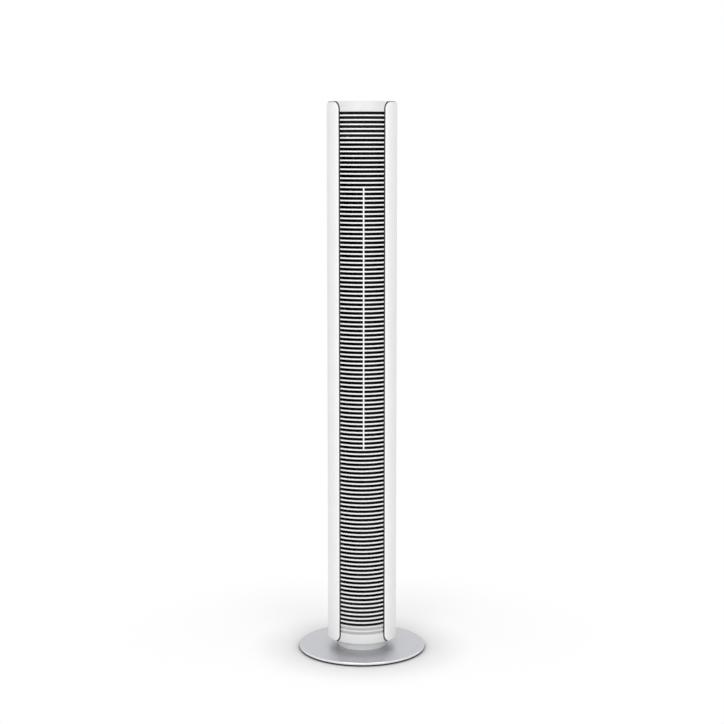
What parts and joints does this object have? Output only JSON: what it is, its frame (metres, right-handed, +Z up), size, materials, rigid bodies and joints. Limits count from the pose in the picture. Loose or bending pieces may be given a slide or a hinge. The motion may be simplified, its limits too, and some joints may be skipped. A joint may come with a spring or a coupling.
{
  "type": "tower fan",
  "caption": "Slim slatted tower fan: swivelling column with a drum impeller, two side panels and top push buttons, on a round metal plate.",
  "frame": {"origin": "centre of the base on the floor", "axes": "+Z up along the column, -Y towards the front window, +X to the viewer's right"},
  "size_m": [0.252, 0.252, 1.09],
  "materials": {
    "white_shell": "satin white moulding",
    "white_slats": "satin white moulding",
    "neck_white": "satin white moulding",
    "plate_paint": "pale cool grey satin powder coat",
    "foot_rubber": "matt",
    "damper_rubber": "matt",
    "black_plastic": "fine matt texture",
    "dark_plastic": "fine matt texture",
    "acetal": "smooth natural acetal",
    "steel": "turned",
    "zinc": "bright zinc plated",
    "aluminium": "die cast",
    "bronze": "sintered, oil filled",
    "copper": "enamelled copper wire",
    "magnet": "bonded ferrite",
    "board": "green laminate",
    "terminal": "moulded",
    "capacitor": "sleeved can",
    "button_white": "satin",
    "lens": "clear rod",
    "led": "moulded"
  },
  "bodies": {
    "base": {"base_plate": "plate_paint", "foot_ring": "foot_rubber", "neck_housing": "neck_white", "neck_screws": "zinc", "pivot_tube": "steel", "pivot_screws": "zinc", "swing_gear": "acetal", "slide_ring": "acetal", "retaining_washer": "steel", "retaining_ring": "steel"},
    "column": {"bottom_skirt": "white_shell", "column_floor": "dark_plastic", "pivot_bush": "bronze", "swing_motor": "zinc", "cord_gland": "dark_plastic", "gland_nut": "dark_plastic", "power_board": "board", "terminal_block": "terminal", "filter_capacitor": "capacitor", "wire_loom": "black_plastic", "motor_housing": "black_plastic", "motor_dampers": "damper_rubber", "motor_base": "aluminium", "motor_screws": "zinc", "motor_bearings": "steel", "stator_core": "steel", "stator_windings": "copper", "duct_floor": "black_plastic", "scroll_wall": "black_plastic", "tongue_wall": "black_plastic", "duct_roof": "black_plastic", "bearing_holder": "damper_rubber", "top_bearing": "bronze", "control_housing": "black_plastic", "control_board": "board", "tact_switches": "dark_plastic", "indicator_leds": "led", "light_guides": "lens", "front_grille": "white_slats", "rear_grille": "white_slats", "left_panel": "white_shell", "right_panel": "white_shell", "top_cap": "white_shell", "case_screws": "zinc"},
    "impeller_drum": {"impeller": "black_plastic", "impeller_hub": "aluminium", "hub_set_screw": "steel", "stub_axle": "steel", "drive_shaft": "steel", "rotor_cup": "steel", "rotor_magnet": "magnet"},
    "pinion": {"swing_pinion": "acetal", "swing_shaft": "steel"},
    "power_button_cap": {"power_button": "button_white"},
    "speed_button_cap": {"speed_button": "button_white"},
    "swing_button_cap": {"swing_button": "button_white"},
    "timer_button_cap": {"timer_button": "button_white"},
    "mode_button_cap": {"mode_button": "button_white"}
  },
  "joints": [
    {"name": "column_swing", "type": "hinge", "parent": "base", "child": "column", "pos_m": [0, 0, 0.027], "axis": [0, 0, 1], "range_deg": [-35, 35]},
    {"name": "pinion_spin", "type": "hinge", "parent": "column", "child": "pinion", "pos_m": [0, -0.03015, 0.02], "axis": [0, 0, 1], "range_deg": [-105.5, 105.5]},
    {"name": "impeller_spin", "type": "hinge", "parent": "column", "child": "impeller_drum", "pos_m": [0, 0.008, 0.5], "axis": [0, 0, 1], "continuous": true},
    {"name": "power_press", "type": "slide", "parent": "column", "child": "power_button_cap", "axis": [0, 0, -1], "range_m": [0, 0.0008], "stiffness_N_per_m": 600, "springref_m": -0.001},
    {"name": "speed_press", "type": "slide", "parent": "column", "child": "speed_button_cap", "axis": [0, 0, -1], "range_m": [0, 0.0008], "stiffness_N_per_m": 600, "springref_m": -0.001},
    {"name": "swing_press", "type": "slide", "parent": "column", "child": "swing_button_cap", "axis": [0, 0, -1], "range_m": [0, 0.0008], "stiffness_N_per_m": 600, "springref_m": -0.001},
    {"name": "timer_press", "type": "slide", "parent": "column", "child": "timer_button_cap", "axis": [0, 0, -1], "range_m": [0, 0.0008], "stiffness_N_per_m": 600, "springref_m": -0.001},
    {"name": "mode_press", "type": "slide", "parent": "column", "child": "mode_button_cap", "axis": [0, 0, -1], "range_m": [0, 0.0008], "stiffness_N_per_m": 600, "springref_m": -0.001}
  ],
  "couplings": [
    {"joint": "pinion_spin", "follows": "column_swing", "ratio": 3}
  ]
}
